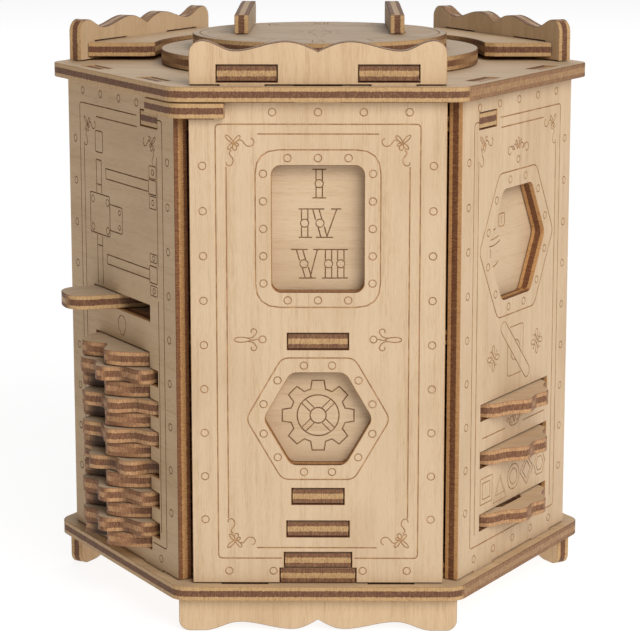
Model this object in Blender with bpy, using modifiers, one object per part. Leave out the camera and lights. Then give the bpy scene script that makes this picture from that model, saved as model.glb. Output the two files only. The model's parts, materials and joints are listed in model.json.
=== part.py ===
"""Hexagonal laser-cut plywood puzzle box.

Six upright panels stand between a hexagonal base plate and a top plate. A two-step dial
turns on the top, six lobed code wheels turn between notched discs in the front left
panel, three lobed wheels turn in the front right panel, a lever swings through a slot
above the code wheels, a latch draws out of the front left corner, and the back panel is
a hidden door. Three wavy rails crown the top plate and three wavy skirts carry the base.

The origin is on the ground under the centre. +Z is up and the front faces -Y.
Sizes below are in millimetres, and MM turns them into Blender's metres.
"""
import math

import bmesh
import bpy
from mathutils import Vector

MM = 0.001

# --- Driving dimensions ---------------------------------------------------------------
PLY = 4.0                 # thickness of every plywood piece
GAP = 0.3                 # clearance between pieces that touch
PANEL_FACE = 64.0         # from the centre to a panel's outer face
PANEL_WIDTH = 68.4
PANEL_HEIGHT = 132.75     # between the base plate and the top plate
PLATE_APOTHEM = 67.1      # base and top plates
PLATE_CORNER = 6.0
SKIRT_HEIGHT = 9.5
SHELF_APOTHEM = 59.4
TAB_WIDTH = 12.0
SIDE_TAB = 18.5           # tab centres on the two front side panels
RAIL_TAB = 20.0           # tab centres on rails and skirts

# --- Levels worked out from them ------------------------------------------------------
BASE_Z = SKIRT_HEIGHT
FLOOR_Z = BASE_Z + PLY    # every panel height below is counted from here
TOP_Z = FLOOR_Z + PANEL_HEIGHT
DECK_Z = TOP_Z + PLY

PANEL_MID = PANEL_FACE - PLY / 2
PANEL_BACK = PANEL_FACE - PLY

# --- Sides, as turns about +Z from the front ------------------------------------------
FRONT, FRONT_RIGHT, BACK_RIGHT, BACK, BACK_LEFT, FRONT_LEFT = (math.radians(a) for a in range(0, 360, 60))
RAILED_SIDES = {"front": FRONT, "back_right": BACK_RIGHT, "back_left": BACK_LEFT}

# --- Shelf and stack heights above the base plate -------------------------------------
MID_SHELF_V = 65.95
UPPER_SHELF_V = 124.05
LOCK_PLATES = (("lock_plate_lower", 4.7, 9.0),     # name, underside, half width of the front tab
               ("lock_plate_middle", 13.6, 8.3),
               ("lock_plate_upper", 22.8, 6.9))
FLOOR_TAB = 10.2          # half width of the inner floor's front tab
MID_SHELF_TAB = 8.0

# --- Code wheels in the front left panel ----------------------------------------------
CODE_AXIS_U = 1.8         # of the shaft along the panel
CODE_AXIS_DEPTH = 8.7     # of the shaft behind the panel's face
CODE_STACK_V = 4.75       # underside of the lowest disc
CODE_PITCH = 4.35
CODE_PIECES = 13          # discs and wheels by turns, a disc at both ends
CODE_WHEEL_R = 19.0
CODE_WAVE = 1.6
CODE_LOBES = 9
CODE_PHASES = (16, -23, 2, -14, -12, 16)   # degrees, lowest wheel first
DISC_R = 17.2
DISC_DEPTH = 6.5          # of the discs' centre behind the panel's face
DISC_NOTCH_DEPTH = 5.7
DISC_NOTCH_HALF = 27.0    # degrees
CODE_SHAFT_R = 2.2
CODE_BORE_R = 2.6
WHEEL_PLAY = 0.25         # above and below a wheel in its opening
SHAFT_R = 3.0
BORE_R = 3.4

# --- Lobed wheels in the front right panel --------------------------------------------
SIDE_AXIS_DEPTH = 15.0
SIDE_WHEEL_R = 22.6
SIDE_WAVE = 0.8
SIDE_LOBES = 12
SIDE_WHEELS_V = (42.75, 29.3, 11.3)     # undersides, highest wheel first
SIDE_PHASES = (15, 13, 12)
SIDE_SLOT_HALF = 21.0
SPACER_R = 6.5
GATE_R = 2.8              # half width of the slot in the lowest side wheel
GATE_ENDS = (-8.0, 2.2)   # centres of the slot's round ends, across the wheel
GATE_DEPTH = 1.8          # of the slot behind the panel's face

# --- Lever ----------------------------------------------------------------------------
LEVER_V = 70.3
LEVER_PIVOT = 22.0        # from the box's centre towards the front left panel
LEVER_REACH = 55.9
LEVER_HALF = 7.6
LEVER_TIP_R = 6.0
LEVER_HEEL_R = 9.0
LEVER_SLOT_HALF = 17.9
LEVER_REST = math.radians(-13)
PIN_HEAD_R = 6.0
PIN_HEAD = 3.1            # thickness of the head above the lever

# --- Dial -----------------------------------------------------------------------------
LOWER_DISC_R = 45.5
UPPER_DISC_R = 36.5
SPINDLE_R = 4.0
RETAINER_R = 12.0
GRIP_X = 22.0
GRIP_TILT = 1.5           # degrees that each grip turns from straight back
GRIP_FRONT, GRIP_BACK = 8.0, 29.0
GRIP_LOW, GRIP_HIGH = 5.2, 6.6

# --- Corner latch and back door -------------------------------------------------------
LATCH_Z = FLOOR_Z + UPPER_SHELF_V + PLY + GAP
LATCH_FACE = 66.7         # outer faces of the latch's arms, from the centre
LATCH_BACK = 57.5
LATCH_FRONT_U = (-28.0, -24.6)     # ends of the arm at the front
LATCH_LEFT_U = (19.9, 25.6)        # ends of the arm along the front left panel
LATCH_TAIL = (38.0, 60.0)      # ends of the tail inside, from the centre
LATCH_TAIL_HALF = 5.5
NOTCH_V = 128.0           # bottom edge of the panel notches that the latch lies in
LATCH_NOTCH_U = (27.6, 25.2)   # where those notches end, on the front and front left panels
HINGE_U = -30.5
HINGE_HOLE_R = 3.2
DOOR_LEFT_U = -33.0
DOOR_PIVOT_HALF = 2.0
FINGER_NOTCH_R = 5.0
HINGE_RELIEF = (4.0, -26.5)    # where the cut at each shelf's corner beside the hinge starts and ends


# --- Outlines -------------------------------------------------------------------------
def rounded(corners, radius, steps=4):
    """Polygon whose corners become arcs. A corner (x, y, r) has a radius of its own."""
    outline = []
    for i, corner in enumerate(corners):
        r = corner[2] if len(corner) > 2 else radius
        here = Vector(corner[:2])
        back = (Vector(corners[i - 1][:2]) - here).normalized()
        ahead = (Vector(corners[(i + 1) % len(corners)][:2]) - here).normalized()
        if r <= 0:
            outline.append(tuple(here))
            continue
        half = back.angle(ahead) / 2
        centre = here + (back + ahead).normalized() * (r / math.sin(half))
        first = here + back * (r / math.tan(half)) - centre
        last = here + ahead * (r / math.tan(half)) - centre
        sweep = math.pi - 2 * half
        for k in range(steps + 1):
            part = k / steps
            spoke = first * math.sin((1 - part) * sweep) + last * math.sin(part * sweep)
            outline.append(tuple(centre + spoke / math.sin(sweep)))
    return outline


def box(left, right, low, high):
    return [(left, low), (right, low), (right, high), (left, high)]


def arc(radius, start, end, steps, centre=(0.0, 0.0)):
    """Points on an arc, with its angles in degrees from +X."""
    turns = [math.radians(start + (end - start) * k / steps) for k in range(steps + 1)]
    return [(centre[0] + radius * math.cos(t), centre[1] + radius * math.sin(t)) for t in turns]


def circle(radius, sides=20, centre=(0.0, 0.0)):
    return arc(radius, 0, 360, sides, centre)[:-1]


def hexagon(apothem, radius, centre=(0.0, 0.0), steps=4):
    """Hexagon with two of its sides level."""
    reach = apothem / math.cos(math.pi / 6)
    corners = circle(reach, 6, centre)
    return rounded(corners, radius, steps)


def outward(radius, degrees):
    """A point at that angle from a wheel's outward direction, which is -Y."""
    turn = math.radians(degrees)
    return (radius * math.sin(turn), -radius * math.cos(turn))


def lobed_wheel(radius, wave, lobes, phase, steps=6):
    count = lobes * steps
    outline = []
    for k in range(count):
        degrees = 360 * k / count
        swell = wave * math.cos(math.radians(lobes * (degrees - phase)))
        outline.append(outward(radius + swell, degrees))
    return outline


def notched_disc():
    """A round disc with one soft notch facing outward."""
    outline = []
    for k in range(12):
        across = -1 + k / 6
        depth = DISC_NOTCH_DEPTH * (0.5 + 0.5 * math.cos(math.pi * across)) ** 0.7
        outline.append(outward(DISC_R - depth, DISC_NOTCH_HALF * across))
    for k in range(28):
        sweep = 360 - 2 * DISC_NOTCH_HALF
        outline.append(outward(DISC_R, DISC_NOTCH_HALF + sweep * k / 28))
    return outline


def wave(stations, steps=5):
    """Height along a rail from its middle: eased between stations, sharp at the middle."""
    points = []
    for (x0, h0), (x1, h1) in zip(stations, stations[1:]):
        for k in range(steps):
            part = k / steps
            if x0 == 0:
                eased = math.sin(part * math.pi / 2)
            else:
                eased = (1 - math.cos(part * math.pi)) / 2
            points.append((x0 + (x1 - x0) * part, h0 + (h1 - h0) * eased))
    return points


def mirrored(right):
    """A whole outline from its right half, which runs from the middle to the middle."""
    return right + [(-x, y) for x, y in reversed(right) if x > 0.001]


# --- Pieces ---------------------------------------------------------------------------
def collection(name):
    made = bpy.data.collections.new(name)
    bpy.context.scene.collection.children.link(made)
    return made


def wood(name, colour, roughness=0.62):
    material = bpy.data.materials.new(name + "_wood")
    material.use_nodes = True
    shader = material.node_tree.nodes["Principled BSDF"]
    shader.inputs["Base Color"].default_value = (*colour, 1.0)
    shader.inputs["Roughness"].default_value = roughness
    shader.inputs["Metallic"].default_value = 0.0
    return material


BIRCH = (0.72, 0.54, 0.34)
BIRCH_DARK = (0.60, 0.43, 0.26)
DOWEL = (0.68, 0.50, 0.30)


def plate(name, outline, holes=(), colour=BIRCH, thickness=PLY):
    """A flat piece cut from board, lying in its own XY plane."""
    curve = bpy.data.curves.new(name, "CURVE")
    curve.dimensions = "2D"
    curve.fill_mode = "BOTH"
    curve.extrude = thickness / 2 * MM
    for ring in (outline, *holes):
        spline = curve.splines.new("POLY")
        spline.points.add(len(ring) - 1)
        for point, (x, y) in zip(spline.points, ring):
            point.co = (x * MM, y * MM, 0, 1)
        spline.use_cyclic_u = True
    curve.materials.append(wood(name, colour))
    piece = bpy.data.objects.new(name, curve)
    box_parts.objects.link(piece)
    return piece


def rod(name, radius, length, colour=DOWEL, sides=20):
    """A round dowel standing on its own origin."""
    mesh = bpy.data.meshes.new(name)
    shape = bmesh.new()
    bmesh.ops.create_cone(shape, cap_ends=True, segments=sides, radius1=radius * MM,
                          radius2=radius * MM, depth=length * MM)
    bmesh.ops.translate(shape, verts=shape.verts, vec=(0, 0, length / 2 * MM))
    shape.to_mesh(mesh)
    shape.free()
    mesh.shade_smooth()
    mesh.set_sharp_from_angle(angle=math.radians(40))
    mesh.materials.append(wood(name, colour))
    piece = bpy.data.objects.new(name, mesh)
    box_parts.objects.link(piece)
    return piece


def lay(piece, underside, x=0.0, y=0.0, turn=0.0):
    """Place a plate flat with its underside at a height."""
    piece.location = (x * MM, y * MM, (underside + PLY / 2) * MM)
    piece.rotation_euler = (0, 0, turn)
    return piece


def stand(piece, side, middle, height=FLOOR_Z, along=0.0):
    """Stand a plate upright facing a side, with its middle plane that far from the centre."""
    x, y = side_point(side, along, middle)
    piece.location = (x * MM, y * MM, height * MM)
    piece.rotation_euler = (math.pi / 2, 0, side)
    return piece


def side_point(side, along, out):
    """X and Y of a point, from its place along a side and its distance out from the centre."""
    x = along * math.cos(side) + out * math.sin(side)
    y = along * math.sin(side) - out * math.cos(side)
    return x, y


def turned_points(points, side):
    """Plan points given for the front side, moved round to another side."""
    return [side_point(side, x, -y) for x, y in points]


# --- Plates at top and bottom ---------------------------------------------------------
def tab_slot(centre, width=TAB_WIDTH):
    """The hole, in plan at the front side, that an upright plate's tab fills."""
    reach = width / 2 + GAP
    return box(centre - reach, centre + reach, -PANEL_FACE - GAP, -PANEL_BACK + GAP)


def end_plate_holes(front_tab):
    """Holes shared by the base plate and the top plate."""
    holes = []
    for side in (FRONT_LEFT, FRONT_RIGHT):
        holes += [turned_points(tab_slot(sign * SIDE_TAB), side) for sign in (-1, 1)]
    for side in RAILED_SIDES.values():
        holes += [turned_points(tab_slot(sign * RAIL_TAB), side) for sign in (-1, 1)]
        if side != FRONT or front_tab:
            holes.append(turned_points(tab_slot(0), side))
    holes.append(circle(HINGE_HOLE_R, 20, side_point(BACK, HINGE_U, PANEL_MID)))
    return holes


def base_and_top():
    outline = hexagon(PLATE_APOTHEM, PLATE_CORNER)
    lay(plate("base_plate", outline, end_plate_holes(False)), BASE_Z)
    top_holes = end_plate_holes(True) + [circle(SPINDLE_R + 0.4)]
    lay(plate("top_plate", outline, top_holes), TOP_Z)


# --- Crown rails, their brackets, and the skirts --------------------------------------
RAIL_HALF = 34.0
RAIL_STATIONS = [(0, 9.0), (8.5, 11.6), (22.0, 9.2), (30.5, 11.9)]
RAIL_END_R = 3.5
RAIL_SLOT = (10.6, 26.9, 0.95, 5.55)    # along the rail and up from the deck
BRACKET_V = 1.25
BRACKET_HEEL = (22.6, -45.6, 1.6)
BRACKET_HOLLOW_R = 48.0
BRACKET_HOLLOW_HALF = 24.5              # degrees
SKIRT_HALF = 38.2
SKIRT_STATIONS = [(0, 3.2), (7.0, 0.5), (21.5, 2.5), (31.5, 0.0)]
SKIRT_END_R = 3.0


def rail_tab(root, reach):
    """Right-hand tab of a rail or a skirt, from its outer root corner to its inner one."""
    left, right = RAIL_TAB - TAB_WIDTH / 2, RAIL_TAB + TAB_WIDTH / 2
    return [(right, root), (right, root + reach), (left, root + reach), (left, root)]


def crest_rail(name, side):
    end_x, end_z = RAIL_STATIONS[-1]
    shoulder = arc(RAIL_END_R, 90, 0, 5, (end_x, end_z - RAIL_END_R))
    right = wave(RAIL_STATIONS) + shoulder + [(RAIL_HALF, GAP)] + rail_tab(GAP, -PLY)
    inner, outer, low, high = RAIL_SLOT
    slots = [box(inner, outer, low, high), box(-outer, -inner, low, high)]
    rail = plate("crest_rail_" + name, mirrored(right), slots)
    stand(rail, side, PANEL_MID, DECK_Z)


def crest_bracket(name, side):
    """A plate on the deck behind a rail, with two tabs that lock into it."""
    back = -PANEL_BACK + GAP
    inner, outer = RAIL_SLOT[0] + GAP, RAIL_SLOT[1] - GAP
    hollow = arc(BRACKET_HOLLOW_R, 270 + BRACKET_HOLLOW_HALF, 270, 4)
    heel = rounded([(outer + PLY, back, 0), BRACKET_HEEL, (*hollow[0], 0.6), (*hollow[1], 0)], 0, 3)
    tab = [(inner, back), (inner, -PANEL_FACE), (outer, -PANEL_FACE), (outer, back)]
    outline = mirrored([(0, back)] + tab + heel + hollow[2:])
    bracket = plate("crest_bracket_" + name, outline, colour=BIRCH_DARK)
    lay(bracket, DECK_Z + BRACKET_V, turn=side)


def skirt(name, side):
    high = SKIRT_HEIGHT - GAP
    end_x, end_z = SKIRT_STATIONS[-1]
    heel = rounded([(end_x, end_z, 0), (SKIRT_HALF, 0, SKIRT_END_R), (SKIRT_HALF, high, 0)], 0)
    right = wave(SKIRT_STATIONS) + heel + rail_tab(high, PLY)
    piece = plate("skirt_" + name, mirrored(right), colour=BIRCH_DARK)
    stand(piece, side, PANEL_MID, 0.0)


# --- Panels ---------------------------------------------------------------------------
def panel_outline(top_tabs=(), bottom_tabs=(), latch_notch=None, foot=None):
    """Upright panel, anticlockwise from its lower left corner, heights from the floor.

    latch_notch is +u or -u where an upper corner is cut away. foot is the stepped
    opening at the middle of the lower edge that takes two shelf tabs.
    """
    half = PANEL_WIDTH / 2
    low, high = GAP, PANEL_HEIGHT - GAP
    reach = TAB_WIDTH / 2
    edge = [(-half, low)]
    for centre in bottom_tabs:
        edge += [(centre - reach, low), (centre - reach, low - PLY), (centre + reach, low - PLY),
                 (centre + reach, low)]
    if foot:
        wide, wide_high, narrow, narrow_high = foot
        edge += [(-wide, low), (-wide, wide_high), (-narrow, wide_high), (-narrow, narrow_high)]
        edge += [(narrow, narrow_high), (narrow, wide_high), (wide, wide_high), (wide, low)]
    edge.append((half, low))
    if latch_notch and latch_notch > 0:
        edge += [(half, NOTCH_V), (latch_notch, NOTCH_V), (latch_notch, high)]
    else:
        edge.append((half, high))
    for centre in reversed(top_tabs):
        edge += [(centre + reach, high), (centre + reach, high + PLY), (centre - reach, high + PLY),
                 (centre - reach, high)]
    if latch_notch and latch_notch < 0:
        edge += [(latch_notch, high), (latch_notch, NOTCH_V), (-half, NOTCH_V)]
    else:
        edge.append((-half, high))
    return edge


def shelf_slot(left, right, underside):
    return box(left - GAP, right + GAP, underside - GAP, underside + PLY + GAP)


UPPER_WINDOW = (-12.4, 12.4, 81.4, 115.6)
EMBLEM_CENTRE = 46.5
EMBLEM_APOTHEM = 12.8
PICTURE_CENTRE = 90.0
PICTURE_APOTHEM = 15.5
SHELF_SIDE_TAB = (-24.0, -14.0)     # along the front right panel; mirrored on the left


def front_panel():
    lower = LOCK_PLATES[0]
    foot = (FLOOR_TAB + GAP, GAP + PLY + 0.2, lower[2] + GAP, lower[1] + PLY + GAP)
    holes = [rounded(box(*UPPER_WINDOW), 2.5),
             hexagon(EMBLEM_APOTHEM, 3.0, (0, EMBLEM_CENTRE)),
             shelf_slot(-MID_SHELF_TAB, MID_SHELF_TAB, MID_SHELF_V)]
    for _, underside, reach in LOCK_PLATES[1:]:
        holes.append(shelf_slot(-reach, reach, underside))
    outline = panel_outline(top_tabs=(0,), latch_notch=-LATCH_NOTCH_U[0], foot=foot)
    stand(plate("front_panel", outline, holes), FRONT, PANEL_MID)


def wheel_opening():
    """Stepped hole that the code wheels stand out of: wide at a wheel, narrow at a disc."""
    narrow, wide = DISC_R + GAP, CODE_WHEEL_R + CODE_WAVE + GAP
    ends = ((narrow, CODE_AXIS_U + wide), (-narrow, CODE_AXIS_U - wide))
    right, left = (wheel_opening_side(*end) for end in ends)
    return right + left[::-1]


def wheel_opening_side(narrow, wide):
    """One side of the opening, from its foot up."""
    side = [(narrow, CODE_STACK_V - WHEEL_PLAY)]
    for k in range(len(CODE_PHASES)):
        low = CODE_STACK_V + (2 * k + 1) * CODE_PITCH - WHEEL_PLAY
        high = low + PLY + 2 * WHEEL_PLAY
        side += [(narrow, low), (wide, low), (wide, high), (narrow, high)]
    side.append((narrow, CODE_STACK_V + CODE_PIECES * CODE_PITCH))
    return side


def front_left_panel():
    outline = panel_outline((-SIDE_TAB, SIDE_TAB), (-SIDE_TAB, SIDE_TAB), latch_notch=LATCH_NOTCH_U[1])
    left, right = SHELF_SIDE_TAB
    holes = [wheel_opening(), shelf_slot(-LEVER_SLOT_HALF, LEVER_SLOT_HALF, LEVER_V),
             shelf_slot(-right, -left, UPPER_SHELF_V)]
    stand(plate("front_left_panel", outline, holes, BIRCH_DARK), FRONT_LEFT, PANEL_MID)


def front_right_panel():
    outline = panel_outline((-SIDE_TAB, SIDE_TAB), (-SIDE_TAB, SIDE_TAB))
    left, right = SHELF_SIDE_TAB
    holes = [hexagon(PICTURE_APOTHEM, 3.0, (0, PICTURE_CENTRE)), shelf_slot(left, right, UPPER_SHELF_V)]
    for underside in SIDE_WHEELS_V:
        holes.append(shelf_slot(-SIDE_SLOT_HALF, SIDE_SLOT_HALF, underside))
    stand(plate("front_right_panel", outline, holes), FRONT_RIGHT, PANEL_MID)


def rear_panels():
    outline = panel_outline((0,), (0,))
    stand(plate("back_left_panel", outline), BACK_LEFT, PANEL_MID)
    stand(plate("back_right_panel", outline), BACK_RIGHT, PANEL_MID)


def back_door():
    """Hidden door. Square pivot tabs above and below turn in round holes of the plates."""
    left, right = DOOR_LEFT_U - HINGE_U, PANEL_WIDTH / 2 - HINGE_U
    low, high = GAP, PANEL_HEIGHT - GAP
    pivot = DOOR_PIVOT_HALF
    grip = arc(FINGER_NOTCH_R, 270, 90, 8, (right, PANEL_HEIGHT / 2))
    outline = [(left, low), (-pivot, low), (-pivot, low - PLY), (pivot, low - PLY), (pivot, low),
               (right, low), *grip, (right, high), (pivot, high), (pivot, high + PLY),
               (-pivot, high + PLY), (-pivot, high), (left, high)]
    stand(plate("back_door", outline), BACK, PANEL_MID, along=HINGE_U)


def window_backs():
    """Boards behind the three windows, 0.3 mm behind the panels."""
    middle = PANEL_BACK - GAP - PLY / 2
    numerals = plate("numeral_plate", box(-17.0, 17.0, 76.5, 120.5))
    stand(numerals, FRONT, middle)
    emblem = plate("emblem_plate", box(-17.0, 17.0, 29.5, 63.5))
    stand(emblem, FRONT, middle)
    picture = plate("picture_plate", box(-20.0, 20.0, 71.0, 109.0))
    stand(picture, FRONT_RIGHT, middle)


# --- Shelves and inner walls ----------------------------------------------------------
def shelf_outline(tabs):
    """Hexagonal shelf with tabs, each given by its side and its ends along that side."""
    reach = SHELF_APOTHEM / math.cos(math.pi / 6)
    outline = []
    for k in range(6):
        turn = math.radians(60 * k)
        if abs(turn - BACK) < 0.01:
            start, end = HINGE_RELIEF
            outline.append(side_point(BACK_RIGHT, reach / 2 - start, SHELF_APOTHEM))
            outline.append(side_point(BACK, end, SHELF_APOTHEM))
        else:
            outline.append(side_point(turn, -reach / 2, SHELF_APOTHEM))
        for side, left, right in tabs:
            if abs(side - turn) < 0.01:
                out = PANEL_FACE - 0.1
                steps = ((left, SHELF_APOTHEM), (left, out), (right, out), (right, SHELF_APOTHEM))
                outline += [side_point(side, along, away) for along, away in steps]
    return outline


def shelves():
    side_axis = side_point(FRONT_RIGHT, 0, PANEL_FACE - SIDE_AXIS_DEPTH)
    lever_axis = side_point(FRONT_LEFT, 0, LEVER_PIVOT)
    floor = shelf_outline([(FRONT, -FLOOR_TAB, FLOOR_TAB)])
    lay(plate("inner_floor", floor), FLOOR_Z + GAP)
    middle = shelf_outline([(FRONT, -MID_SHELF_TAB, MID_SHELF_TAB)])
    bores = [circle(BORE_R, 20, axis) for axis in (side_axis, lever_axis)]
    lay(plate("mid_shelf", middle, bores), FLOOR_Z + MID_SHELF_V)
    left, right = SHELF_SIDE_TAB
    upper = shelf_outline([(FRONT_RIGHT, left, right), (FRONT_LEFT, -right, -left)])
    lay(plate("upper_shelf", upper), FLOOR_Z + UPPER_SHELF_V)


CELL_LEFT, CELL_RIGHT = -22.0, 14.0     # facing faces of the two dividers
CELL_BACK = 0.0


def lock_cell():
    """Two dividers, three lock plates and a partition that close off the mechanism."""
    low = GAP + PLY + GAP
    high = MID_SHELF_V - GAP
    front = -PANEL_BACK + PLY + 2 * GAP
    wall = box(front, CELL_BACK - GAP, low, high)
    quarter = math.pi / 2
    stand(plate("divider_left", wall), quarter, CELL_LEFT - PLY / 2)
    stand(plate("divider_right", wall), quarter, CELL_RIGHT + PLY / 2)
    stand(plate("partition", box(-66.0, 66.0, low, high)), BACK, CELL_BACK + PLY / 2)
    left, right = CELL_LEFT + GAP, CELL_RIGHT - GAP
    for name, underside, reach in LOCK_PLATES:
        near, face = -SHELF_APOTHEM, -PANEL_FACE + 0.1
        outline = [(left, near), (-reach, near), (-reach, face), (reach, face), (reach, near),
                   (right, near), (right, CELL_BACK - GAP), (left, CELL_BACK - GAP)]
        lay(plate(name, outline), FLOOR_Z + underside)


# --- Turning wheels -------------------------------------------------------------------
def code_wheels():
    """Wheels on one shaft, and between them the fixed discs, whose notches line up."""
    x, y = side_point(FRONT_LEFT, CODE_AXIS_U, PANEL_FACE - CODE_AXIS_DEPTH)
    disc_at = side_point(FRONT_LEFT, 0, PANEL_FACE - DISC_DEPTH)
    disc_bore = circle(CODE_BORE_R, 20, (CODE_AXIS_U, CODE_AXIS_DEPTH - DISC_DEPTH))
    for k in range(CODE_PIECES):
        underside = FLOOR_Z + CODE_STACK_V + k * CODE_PITCH
        number = k // 2 + 1
        if k % 2:
            shape = lobed_wheel(CODE_WHEEL_R, CODE_WAVE, CODE_LOBES, CODE_PHASES[k // 2])
            wheel = plate("code_wheel_%d" % number, shape, [circle(CODE_BORE_R)], BIRCH_DARK)
            lay(wheel, underside, x, y, FRONT_LEFT)
        else:
            disc = plate("notch_disc_%d" % number, notched_disc(), [disc_bore], BIRCH_DARK)
            lay(disc, underside, *disc_at, FRONT_LEFT)
    foot = FLOOR_Z + GAP + PLY + GAP
    shaft = rod("code_shaft", CODE_SHAFT_R, FLOOR_Z + MID_SHELF_V - GAP - foot)
    shaft.location = (x * MM, y * MM, foot * MM)


def side_wheels():
    x, y = side_point(FRONT_RIGHT, 0, PANEL_FACE - SIDE_AXIS_DEPTH)
    bore = circle(BORE_R)
    for number, (underside, phase) in enumerate(zip(SIDE_WHEELS_V, SIDE_PHASES), 1):
        shape = lobed_wheel(SIDE_WHEEL_R, SIDE_WAVE, SIDE_LOBES, phase, 5)
        holes = [bore]
        if number == len(SIDE_WHEELS_V):
            holes.append(gate_slot())
        piece = plate("side_wheel_%d" % number, shape, holes, BIRCH_DARK)
        lay(piece, FLOOR_Z + underside, x, y, FRONT_RIGHT)
    foot = FLOOR_Z + GAP + PLY + GAP
    shaft = rod("side_shaft", SHAFT_R, FLOOR_Z + MID_SHELF_V + PLY - foot)
    shaft.location = (x * MM, y * MM, foot * MM)
    levels = sorted(SIDE_WHEELS_V)
    starts = [GAP + PLY] + [level + PLY for level in levels[:-1]]
    for number, (start, end) in enumerate(zip(starts, levels), 1):
        spacer_tube("spacer_%d" % number, x, y, FLOOR_Z + start + GAP, end - start - 2 * GAP)


def gate_slot():
    """Round-ended slot near the rim of the lowest side wheel."""
    middle = GATE_DEPTH - SIDE_AXIS_DEPTH
    left, right = GATE_ENDS
    return arc(GATE_R, -90, 90, 6, (right, middle)) + arc(GATE_R, 90, 270, 6, (left, middle))


def spacer_tube(name, x, y, foot, length):
    tube = plate(name, circle(SPACER_R), [circle(BORE_R)], DOWEL, length)
    tube.location = (x * MM, y * MM, (foot + length / 2) * MM)


# --- Lever ----------------------------------------------------------------------------
def lever():
    half, reach = LEVER_HALF, -LEVER_REACH
    heel = arc(LEVER_HEEL_R, 30, 150, 6)
    tip = [(-half, reach, LEVER_TIP_R), (half, reach, LEVER_TIP_R)]
    arm = rounded([(-half, 0, 0), *tip, (half, 0, 0)], 0, 5)
    x, y = side_point(FRONT_LEFT, 0, LEVER_PIVOT)
    lay(plate("lever", heel + arm, [circle(BORE_R)], BIRCH_DARK), FLOOR_Z + LEVER_V, x, y,
        FRONT_LEFT + LEVER_REST)
    head = LEVER_V + PLY + GAP - MID_SHELF_V
    profile = [(0, head + PIN_HEAD), (PIN_HEAD_R, head + PIN_HEAD), (PIN_HEAD_R, head), (SHAFT_R, head),
               (SHAFT_R, 0), (0, 0)]
    pin = turned("lever_pin", profile)
    pin.location = (x * MM, y * MM, (FLOOR_Z + MID_SHELF_V) * MM)


def turned(name, profile, steps=20):
    """A piece turned about Z from a profile that runs down its outer side."""
    mesh = bpy.data.meshes.new(name)
    points = [(x * MM, 0, z * MM) for x, z in profile]
    mesh.from_pydata(points, [(k, k + 1) for k in range(len(points) - 1)], [])
    mesh.materials.append(wood(name, DOWEL))
    piece = bpy.data.objects.new(name, mesh)
    box_parts.objects.link(piece)
    screw = piece.modifiers.new("turn", "SCREW")
    screw.axis = "Z"
    screw.steps = steps
    screw.render_steps = steps
    screw.use_merge_vertices = True
    screw.merge_threshold = 0.00001
    return piece


# --- Dial -----------------------------------------------------------------------------
def dial():
    bore = circle(SPINDLE_R + GAP)
    lay(plate("dial_lower_disc", circle(LOWER_DISC_R, 64), [bore]), DECK_Z + GAP)
    lay(plate("dial_upper_disc", circle(UPPER_DISC_R, 64)), DECK_Z + PLY + 2 * GAP)
    retainer_z = TOP_Z - GAP - PLY
    lay(plate("dial_retainer", circle(RETAINER_R, 32), [bore]), retainer_z)
    spindle = rod("dial_spindle", SPINDLE_R, DECK_Z + GAP + PLY - retainer_z)
    spindle.location = (0, 0, retainer_z * MM)
    deck = DECK_Z + 2 * PLY + 3 * GAP
    profile = rounded([(-GRIP_BACK, 0, 0), (GRIP_FRONT, 0, 0), (GRIP_FRONT, GRIP_LOW, 1.2),
                       (-20.0, GRIP_HIGH, 6.0), (-GRIP_BACK, GRIP_HIGH, 2.0)], 0)
    for name, sign in (("dial_grip_left", -1), ("dial_grip_right", 1)):
        grip = plate(name, profile)
        grip.location = (sign * GRIP_X * MM, 0, deck * MM)
        grip.rotation_euler = (math.pi / 2, 0, math.radians(-90 + sign * GRIP_TILT))


# --- Corner latch ---------------------------------------------------------------------
def corner_latch():
    """Plate round the front left corner, with an arm outside each panel and a tail inside."""
    bisector = FRONT - math.pi / 6
    front_far, front_near = LATCH_FRONT_U
    near, far = LATCH_LEFT_U
    end, root = LATCH_TAIL
    inside = PANEL_FACE + GAP
    corners = [(FRONT, front_near, LATCH_FACE, 0.4), (FRONT, front_near, inside, 0),
               (FRONT, front_far, inside, 0), (FRONT, front_far, LATCH_BACK, 1.0),
               (bisector, LATCH_TAIL_HALF, root, 0), (bisector, LATCH_TAIL_HALF, end, 4.0),
               (bisector, -LATCH_TAIL_HALF, end, 4.0), (bisector, -LATCH_TAIL_HALF, root, 0),
               (FRONT_LEFT, far, LATCH_BACK, 1.0), (FRONT_LEFT, far, inside, 0),
               (FRONT_LEFT, near, inside, 0), (FRONT_LEFT, near, LATCH_FACE - 1.8, 0.6),
               (FRONT_LEFT, near + 2.0, LATCH_FACE, 1.0),
               (bisector, 0, LATCH_FACE / math.cos(math.pi / 6), 5.5)]
    outline = rounded([(*side_point(side, along, out), r) for side, along, out, r in corners], 0)
    lay(plate("corner_latch", outline, colour=BIRCH_DARK), LATCH_Z)


for leftover in list(bpy.data.objects):
    bpy.data.objects.remove(leftover, do_unlink=True)

box_parts = collection("puzzle_box")
base_and_top()
for side_name, side_turn in RAILED_SIDES.items():
    crest_rail(side_name, side_turn)
    crest_bracket(side_name, side_turn)
    skirt(side_name, side_turn)
front_panel()
front_left_panel()
front_right_panel()
rear_panels()
back_door()
window_backs()
shelves()
lock_cell()
code_wheels()
side_wheels()
lever()
dial()
corner_latch()
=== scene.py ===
"""Looks of the hexagonal plywood puzzle box.

Each flat CAD piece is made again as a board of three plies: its outline is read from the frame,
its curves are refined, its rims are eased, and its laser engraving is cut into the face as real
grooves. The boards carry the wood's grain as mesh attributes, which the shared materials read.
Lengths in the drawings are millimetres, and MM turns them into Blender's metres.
"""
import json
import math

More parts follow.
